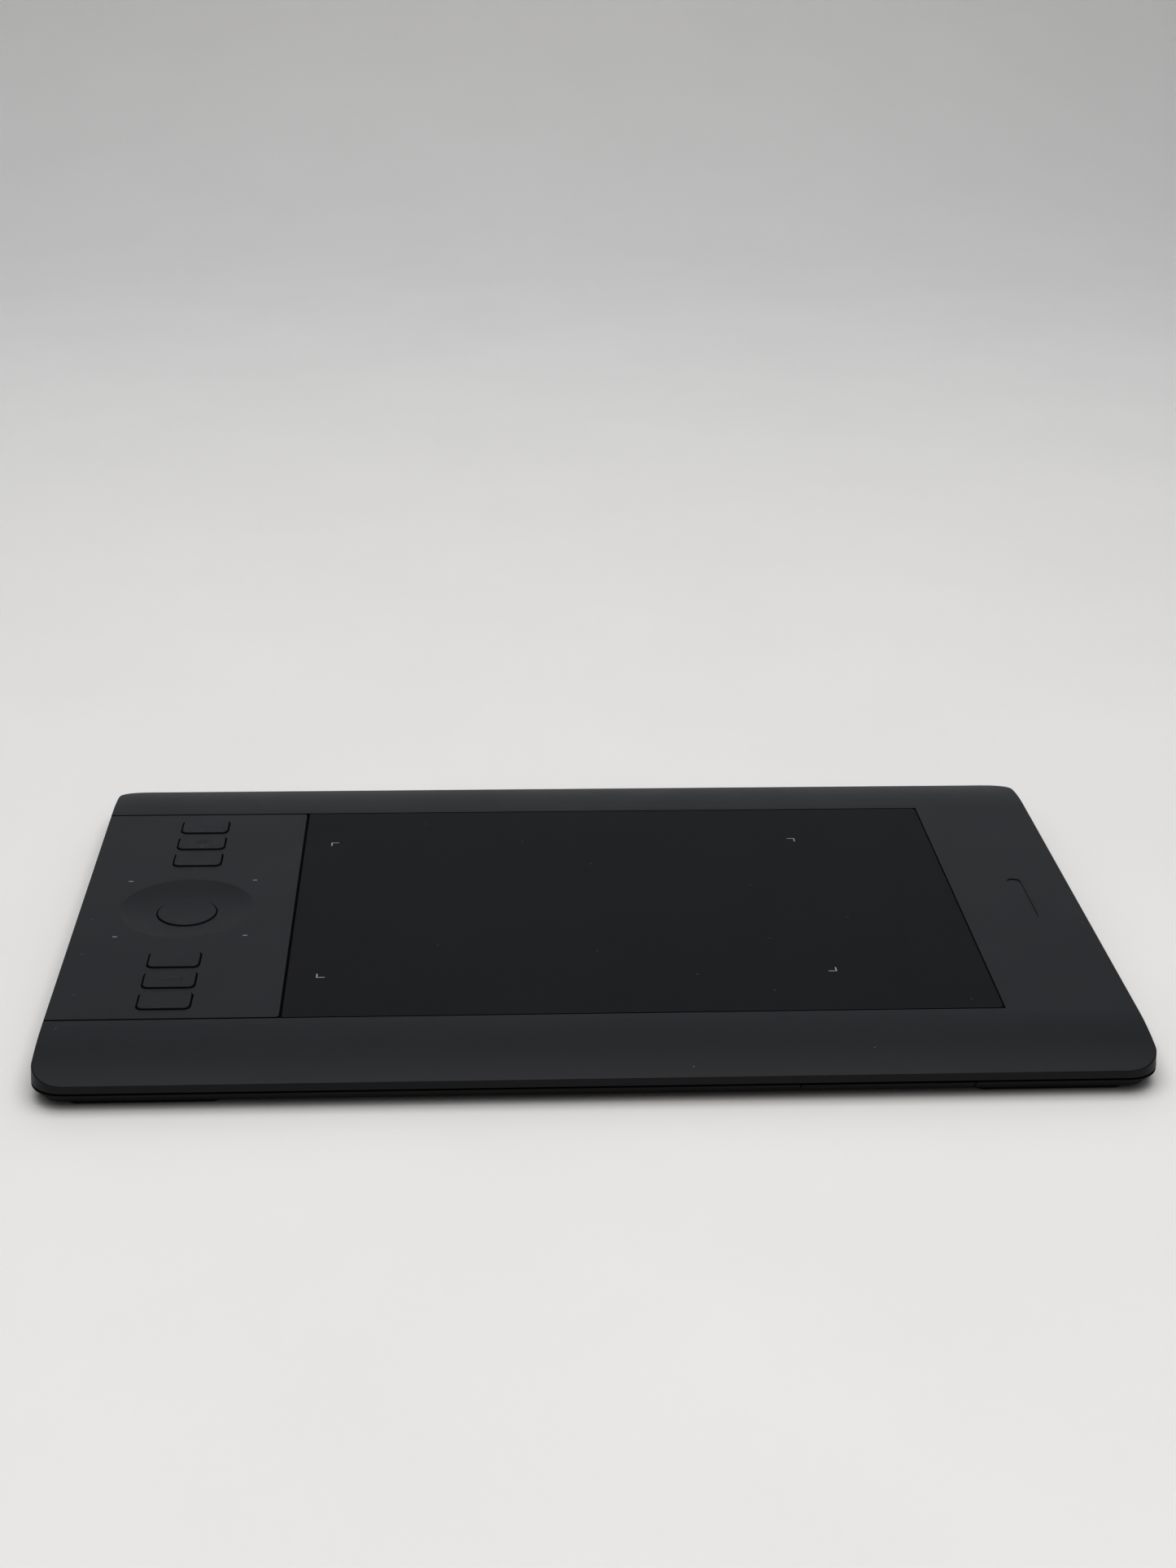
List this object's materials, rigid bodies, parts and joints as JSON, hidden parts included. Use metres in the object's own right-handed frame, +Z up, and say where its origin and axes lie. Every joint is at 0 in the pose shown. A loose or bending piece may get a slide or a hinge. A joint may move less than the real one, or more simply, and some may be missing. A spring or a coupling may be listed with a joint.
{
  "type": "pen drawing tablet",
  "caption": "Slim pen drawing tablet: matte case, flush textured drawing sheet, sprung keys round a dished touch ring, and slide-off doors for battery and wireless module.",
  "frame": {"origin": "on the desk, under the middle of the tablet", "axes": "+X to the user's right along the long side, +Y away from the user, +Z up"},
  "size_m": [0.32, 0.208, 0.0125],
  "materials": {
    "case_plastic": "soft-touch matte, fine grain",
    "door_plastic": "moulded matte",
    "sheet_plastic": "fine textured sheet",
    "key_plastic": "fine matte",
    "foot_rubber": "soft matte rubber",
    "light_guide": "milky translucent light guide",
    "circuit_board": "solder-masked board",
    "touch_film": "polyimide film",
    "dome_rubber": "silicone",
    "steel": "satin",
    "battery_wrap": "satin shrink wrap",
    "module_case": "moulded matte"
  },
  "bodies": {
    "case": {"battery_contacts": "circuit_board", "battery_pack": "battery_wrap", "board_screws": "steel", "bottom_shell": "case_plastic", "case_screws": "steel", "corner_mark_1": "light_guide", "corner_mark_2": "light_guide", "corner_mark_3": "light_guide", "corner_mark_4": "light_guide", "foot_front_left": "foot_rubber", "foot_front_right": "foot_rubber", "foot_rear_left": "foot_rubber", "foot_rear_right": "foot_rubber", "key_board": "circuit_board", "key_domes": "dome_rubber", "key_panel": "case_plastic", "main_board": "circuit_board", "module_socket": "circuit_board", "panel_screws": "steel", "power_switch": "circuit_board", "ribbon_cable": "touch_film", "ring_dome": "dome_rubber", "ring_light_1": "light_guide", "ring_light_2": "light_guide", "ring_light_3": "light_guide", "ring_light_4": "light_guide", "ring_sensor": "touch_film", "sensor_board": "circuit_board", "sensor_connector": "circuit_board", "shield_plate": "steel", "status_light": "light_guide", "top_frame": "case_plastic", "touch_sensor": "touch_film", "usb_port": "steel", "usb_tongue": "circuit_board", "wireless_module": "module_case", "work_surface": "sheet_plastic"},
    "key_1": {"key_1": "key_plastic"},
    "key_2": {"key_2": "key_plastic"},
    "key_3": {"key_3": "key_plastic"},
    "key_4": {"key_4": "key_plastic"},
    "key_5": {"key_5": "key_plastic"},
    "key_6": {"key_6": "key_plastic"},
    "ring_button": {"ring_button": "key_plastic"},
    "power_button": {"power_button": "key_plastic"},
    "battery_door": {"battery_door": "door_plastic"},
    "module_door": {"module_door": "door_plastic"}
  },
  "joints": [
    {"name": "key_1_press", "type": "slide", "parent": "case", "child": "key_1", "axis": [0, 0, -1], "range_m": [0, 0.0005], "stiffness_N_per_m": 400, "springref_m": -0.001},
    {"name": "key_2_press", "type": "slide", "parent": "case", "child": "key_2", "axis": [0, 0, -1], "range_m": [0, 0.0005], "stiffness_N_per_m": 400, "springref_m": -0.001},
    {"name": "key_3_press", "type": "slide", "parent": "case", "child": "key_3", "axis": [0, 0, -1], "range_m": [0, 0.0005], "stiffness_N_per_m": 400, "springref_m": -0.001},
    {"name": "key_4_press", "type": "slide", "parent": "case", "child": "key_4", "axis": [0, 0, -1], "range_m": [0, 0.0005], "stiffness_N_per_m": 400, "springref_m": -0.001},
    {"name": "key_5_press", "type": "slide", "parent": "case", "child": "key_5", "axis": [0, 0, -1], "range_m": [0, 0.0005], "stiffness_N_per_m": 400, "springref_m": -0.001},
    {"name": "key_6_press", "type": "slide", "parent": "case", "child": "key_6", "axis": [0, 0, -1], "range_m": [0, 0.0005], "stiffness_N_per_m": 400, "springref_m": -0.001},
    {"name": "ring_button_press", "type": "slide", "parent": "case", "child": "ring_button", "axis": [0, 0, -1], "range_m": [0, 0.0004], "stiffness_N_per_m": 400, "springref_m": -0.001},
    {"name": "power_button_press", "type": "slide", "parent": "case", "child": "power_button", "axis": [1, 0, 0], "range_m": [0, 0.00035], "stiffness_N_per_m": 400, "springref_m": -0.001},
    {"name": "battery_door_slide", "type": "slide", "parent": "case", "child": "battery_door", "axis": [0, -1, 0], "range_m": [0, 0.058]},
    {"name": "module_door_slide", "type": "slide", "parent": "case", "child": "module_door", "axis": [0, 1, 0], "range_m": [0, 0.046]}
  ]
}
